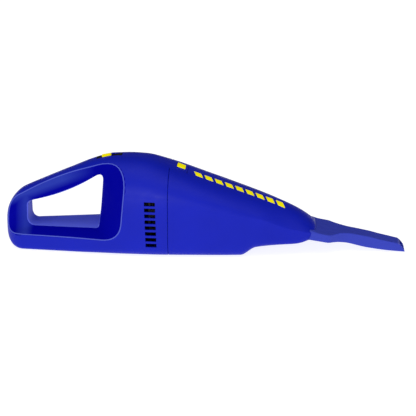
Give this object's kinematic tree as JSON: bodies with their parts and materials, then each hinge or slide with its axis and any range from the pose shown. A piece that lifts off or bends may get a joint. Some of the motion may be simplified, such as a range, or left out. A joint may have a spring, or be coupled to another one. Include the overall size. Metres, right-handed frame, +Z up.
{
  "type": "handheld vacuum cleaner",
  "caption": "Cordless handheld vacuum with a closed loop handle, pull-off dust bowl with filter and inlet flap, and a crevice tool.",
  "frame": {"origin": "centre of the bounding box, on the surface the flat underside rests on", "axes": "+X from the loop handle towards the nozzle, +Y to the user's left when the nozzle points away, +Z up"},
  "size_m": [0.4785, 0.108, 0.113],
  "materials": {
    "blue_plastic": "glossy moulded blue",
    "bowl_plastic": "glossy moulded blue",
    "tool_plastic": "satin moulded blue",
    "yellow_plastic": "glossy moulded yellow",
    "black_plastic": "fine matt",
    "white_plastic": "natural nylon",
    "spring_steel": "rolled strip",
    "steel": "zinc plated",
    "brass": "plain",
    "copper": "enamelled windings",
    "ferrite": "sintered",
    "rubber": "matt",
    "filter_cloth": "felted white filter cloth",
    "cell_wrap": "shrink wrap",
    "board_green": "solder mask",
    "wire_red": "wire sleeve",
    "wire_black": "wire sleeve"
  },
  "bodies": {
    "housing": {"housing_right": "blue_plastic", "housing_left": "blue_plastic", "front_cover": "black_plastic", "bowl_seal": "rubber", "release_spring": "spring_steel", "switch_plate": "black_plastic", "switch_body": "black_plastic", "switch_contact": "brass", "motor_plate": "black_plastic", "motor_screws": "steel", "motor_can": "steel", "motor_magnets": "ferrite", "motor_bearings": "brass", "motor_end": "white_plastic", "motor_brushes": "ferrite", "motor_terminals": "brass", "motor_ring": "rubber", "battery_cells": "cell_wrap", "battery_tabs": "steel", "battery_foam": "rubber", "charge_board": "board_green", "board_parts": "black_plastic", "charge_jack": "black_plastic", "jack_pin": "steel", "wire_motor": "wire_red", "wire_switch": "wire_red", "wire_battery": "wire_red", "wire_charge": "wire_black", "housing_screws": "steel"},
    "button": {"release_button": "yellow_plastic"},
    "switch": {"switch_knob": "yellow_plastic"},
    "bowl": {"dust_bowl": "bowl_plastic", "valve_seat": "black_plastic", "flap_pin": "steel"},
    "filter": {"filter_gasket": "rubber", "filter_frame": "black_plastic", "filter_cup": "filter_cloth"},
    "inlet_flap": {"flap": "rubber"},
    "tool": {"crevice_tool": "tool_plastic"},
    "rotor": {"impeller": "white_plastic", "fan_nut": "steel", "motor_shaft": "steel", "armature": "copper", "commutator": "copper"}
  },
  "joints": [
    {"name": "switch_slide", "type": "slide", "parent": "housing", "child": "switch", "axis": [0.9871, 0, 0.1601], "range_m": [0, 0.008]},
    {"name": "button_press", "type": "slide", "parent": "housing", "child": "button", "axis": [0, 0, -1], "range_m": [0, 0.0035], "stiffness_N_per_m": 900, "deforming": ["release_spring"]},
    {"name": "bowl_pull", "type": "slide", "parent": "housing", "child": "bowl", "axis": [1, 0, 0], "range_m": [0, 0.15]},
    {"name": "filter_pull", "type": "slide", "parent": "bowl", "child": "filter", "axis": [-1, 0, 0], "range_m": [0, 0.07]},
    {"name": "flap_swing", "type": "hinge", "parent": "bowl", "child": "inlet_flap", "pos_m": [0.09484, 0, 0.03627], "axis": [0, 1, 0], "range_deg": [0, 60]},
    {"name": "tool_pull", "type": "slide", "parent": "bowl", "child": "tool", "axis": [0.989, 0, -0.1478], "range_m": [0, 0.06]},
    {"name": "fan_spin", "type": "hinge", "parent": "housing", "child": "rotor", "pos_m": [-0.0612, 0, 0.054], "axis": [1, 0, 0], "continuous": true}
  ],
  "couplings": [
    {"joint": "filter_pull", "follows": "bowl_pull", "ratio": 0.45}
  ]
}
